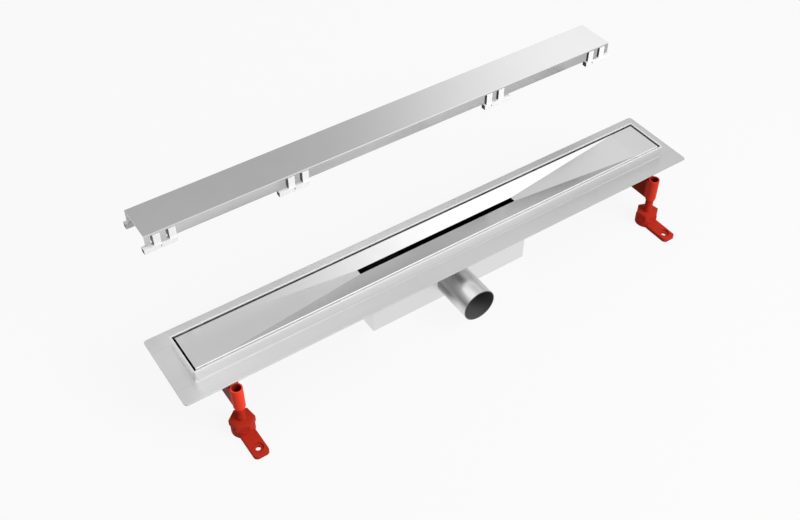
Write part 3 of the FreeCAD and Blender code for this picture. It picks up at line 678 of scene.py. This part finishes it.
class DRAIN_OT_channel(bpy.types.Operator):
    """Satin stainless for the channel, the siphon box and its outlet"""

    bl_idname = "drain.channel"
    bl_label = "Channel"

    def execute(self, context):
        colours, sizes = context.scene.drain_colours, context.scene.drain_sizes
        along_sheet = (30.0, 2600.0, 2600.0)
        channel = brushed_steel("satin_channel", colours.channel, 0.46, along_sheet, tone_of=channel_tone)
        box = brushed_steel("satin_box", colours.box, 0.42, along_sheet)
        pipe = brushed_steel("polished_tube", colours.pipe, 0.30, (1800.0, 60.0, 1800.0), 0.6, tube_tone)
        fastener = brushed_steel("fastener_steel", colours.channel, 0.35, (900.0, 900.0, 900.0))
        weld = brushed_steel("weld_steel", colours.box, 0.34, (700.0, 700.0, 700.0))
        dress(channel, "channel_body")
        dress(box, "siphon_box")
        dress(fastener, "weld_studs", "bracket_nuts")
        smoothed("outlet_pipe", pipe)
        outlet_weld(sizes.outlet_bead, weld)
        box_seams(sizes.box_bead, weld)
        return {"FINISHED"}


class DRAIN_OT_covers(bpy.types.Operator):
    """Brushed stainless for the dished slot cover and the flat cover"""

    bl_idname = "drain.covers"
    bl_label = "Covers"

    def execute(self, context):
        colour = context.scene.drain_colours.cover
        grain = (24.0, 3200.0, 3200.0)
        for node, tone_of in (("slot_cover", slot_cover_tone), ("flat_cover", flat_cover_tone)):
            dress(brushed_steel(f"brushed_{node}", colour, 0.22, grain, tone_of=tone_of), node)
        return {"FINISHED"}


class DRAIN_OT_clips(bpy.types.Operator):
    """White plastic for the clips under both covers"""

    bl_idname = "drain.clips"
    bl_label = "Clips"

    def execute(self, context):
        white = moulded_plastic("white_plastic", context.scene.drain_colours.clips, 0.42, tone_of=clip_tone)
        dress(white, *[name for name in NODES if "_clip_" in name])
        # Plates behind the clips' tabs, whose left faces carry painted shade into the notches' gaps.
        clip_shade_plates(context.scene.drain_sizes.shade_plate, white)
        return {"FINISHED"}


class DRAIN_OT_feet(bpy.types.Operator):
    """Red plastic for the brackets, levelling screws and foot pads"""

    bl_idname = "drain.feet"
    bl_label = "Feet"

    def execute(self, context):
        colour = context.scene.drain_colours.feet
        red = moulded_plastic("red_plastic", colour, 0.45, 0.03)
        bracket = moulded_plastic("red_bracket", colour, 0.45, 0.03, bracket_tone)
        dress(red, *[name for name in NODES if name.startswith("leg_pad")])
        dress(bracket, *[name for name in NODES if name.startswith("leg_bracket")])
        for leg in LEGS:
            levelling_screw(leg, context.scene.drain_sizes, red)
        return {"FINISHED"}


class DRAIN_OT_trap(bpy.types.Operator):
    """Grey plastic and black rubber for the trap"""

    bl_idname = "drain.trap"
    bl_label = "Trap"

    def execute(self, context):
        colours = context.scene.drain_colours
        grey = moulded_plastic("grey_plastic", colours.trap, 0.45)
        dress(grey, "trap_cup", "dip_tube", "hair_strainer")
        dress(rubber("black_rubber", colours.seals), "trap_seal", "dip_seal")
        return {"FINISHED"}


class DRAIN_OT_stage(bpy.types.Operator):
    """Pale floor, soft studio light and the camera"""

    bl_idname = "drain.stage"
    bl_label = "Studio"

    def execute(self, context):
        stage = context.scene.drain_stage
        self.make_floor(context.scene, stage)
        self.make_world(context.scene, stage)
        self.make_lamp(context.scene, stage)
        self.make_camera(context.scene, stage)
        context.scene.view_settings.view_transform = "Standard"
        return {"FINISHED"}

    def make_floor(self, scene, stage):
        """Floor just under the feet, seen almost white and with soft shadows."""
        below_feet, lit_share = 0.2 * MM, 0.85
        grey, white = (0.40, 0.40, 0.40, 1.0), (1.0, 1.0, 1.0, 1.0)
        bm = bmesh.new()
        bmesh.ops.create_grid(bm, x_segments=1, y_segments=1, size=stage.floor_size / 2)
        bmesh.ops.translate(bm, verts=bm.verts, vec=(0.0, 0.0, -below_feet))
        mesh = bpy.data.meshes.new("floor")
        bm.to_mesh(mesh)
        bm.free()
        floor = bpy.data.objects.new("floor", mesh)
        scene.collection.objects.link(floor)
        material, shader = new_material("pale_floor")
        seen, glossy, through = (
            shader.add("ShaderNodeLightPath", output=f"Is {kind} Ray")
            for kind in ("Camera", "Glossy", "Transmission")
        )
        share = seen.at_least(glossy).at_least(through) * lit_share
        plain = shader.add("ShaderNodeBsdfDiffuse", inputs={"Color": grey})
        bright = shader.add("ShaderNodeEmission", inputs={"Color": white, "Strength": 1.05})
        surface = shader.add("ShaderNodeMixShader", inputs={0: share, 1: plain, 2: bright})
        shader.add("ShaderNodeOutputMaterial", inputs={"Surface": surface})
        mesh.materials.append(material)

    def make_world(self, scene, stage):
        """Room that darkens to the left, brightens upwards and has a few soft glows."""
        world = bpy.data.worlds.new("studio")
        world.use_nodes = True
        scene.world = world
        shader = Shader(world.node_tree)
        way = shader.add("ShaderNodeTexCoord", output="Generated")
        side, height = shader.part(way, 0), shader.part(way, 2)
        level = height.steps(side.ramp(-0.85, -0.40, 0.10, stage.room_light), *SKY)
        for towards, elevation, inner, outer, strength in GLOWS:
            spot = self.direction(towards, elevation)
            settings = {"operation": "DOT_PRODUCT"}
            nearness = shader.add("ShaderNodeVectorMath", settings, {0: way, 1: spot}, "Value")
            edge, core = math.cos(math.radians(outer)), math.cos(math.radians(inner))
            level = level + nearness.ramp(edge, core, 0.0, strength)
        inputs = {"Color": (1.0, 1.0, 1.0, 1.0), "Strength": level}
        light = shader.add("ShaderNodeBackground", inputs=inputs)
        shader.add("ShaderNodeOutputWorld", inputs={"Surface": light})

    def direction(self, towards, elevation):
        """Unit vector at degrees from +Y towards +X, and degrees above level."""
        turn, rise = math.radians(towards), math.radians(elevation)
        return Vector((math.sin(turn) * math.cos(rise), math.cos(turn) * math.cos(rise), math.sin(rise)))

    def make_lamp(self, scene, stage):
        """Softbox in front, to the right, that lights the drain but isn't mirrored in it."""
        place, aim_height, side = Vector((0.75, -1.75, 1.35)), 0.1, 1.3
        light = bpy.data.lights.new("key_softbox", "AREA")
        light.size = side
        light.energy = stage.key_light
        lamp = bpy.data.objects.new("key_softbox", light)
        scene.collection.objects.link(lamp)
        aim = Vector((0.0, 0.0, aim_height)) - place
        lamp.matrix_world = Matrix.Translation(place) @ aim.to_track_quat("-Z", "Y").to_matrix().to_4x4()
        lamp.visible_camera = False
        lamp.visible_glossy = False

    def make_camera(self, scene, stage):
        data = bpy.data.cameras.new("camera")
        data.sensor_width = 36.0
        data.lens = stage.lens
        data.clip_start = 0.01
        data.clip_end = 50.0
        camera = bpy.data.objects.new("camera", data)
        camera.location = stage.camera_place
        camera.rotation_euler = (math.pi / 2 - stage.camera_pitch, 0.0, -stage.camera_yaw)
        scene.collection.objects.link(camera)
        scene.camera = camera


class DRAIN_PT_panel(bpy.types.Panel):
    """Lists the drain's pieces, with their colours and sizes, and the studio"""

    bl_idname = "DRAIN_PT_panel"
    bl_label = "Shower Drain"
    bl_space_type = "VIEW_3D"
    bl_region_type = "UI"
    bl_category = "Drain"

    def draw(self, context):
        layout = self.layout
        scene = context.scene
        for group in (scene.drain_colours, scene.drain_sizes, scene.drain_stage):
            box = layout.box()
            for name in group.__annotations__:
                box.prop(group, name)
        for operator in OPERATORS:
            layout.operator(operator.bl_idname)


OPERATORS = (
    DRAIN_OT_channel,
    DRAIN_OT_covers,
    DRAIN_OT_clips,
    DRAIN_OT_feet,
    DRAIN_OT_trap,
    DRAIN_OT_stage,
)
CLASSES = (DrainColours, DrainSizes, DrainStage, *OPERATORS, DRAIN_PT_panel)


def register():
    for cls in CLASSES:
        bpy.utils.register_class(cls)
    bpy.types.Scene.drain_colours = bpy.props.PointerProperty(type=DrainColours)
    bpy.types.Scene.drain_sizes = bpy.props.PointerProperty(type=DrainSizes)
    bpy.types.Scene.drain_stage = bpy.props.PointerProperty(type=DrainStage)


def unregister():
    del bpy.types.Scene.drain_stage
    del bpy.types.Scene.drain_sizes
    del bpy.types.Scene.drain_colours
    for cls in reversed(CLASSES):
        bpy.utils.unregister_class(cls)


def main():
    register()
    bpy.ops.drain.channel()
    bpy.ops.drain.covers()
    bpy.ops.drain.clips()
    bpy.ops.drain.feet()
    bpy.ops.drain.trap()
    bpy.ops.drain.stage()


if __name__ == "__main__":
    main()
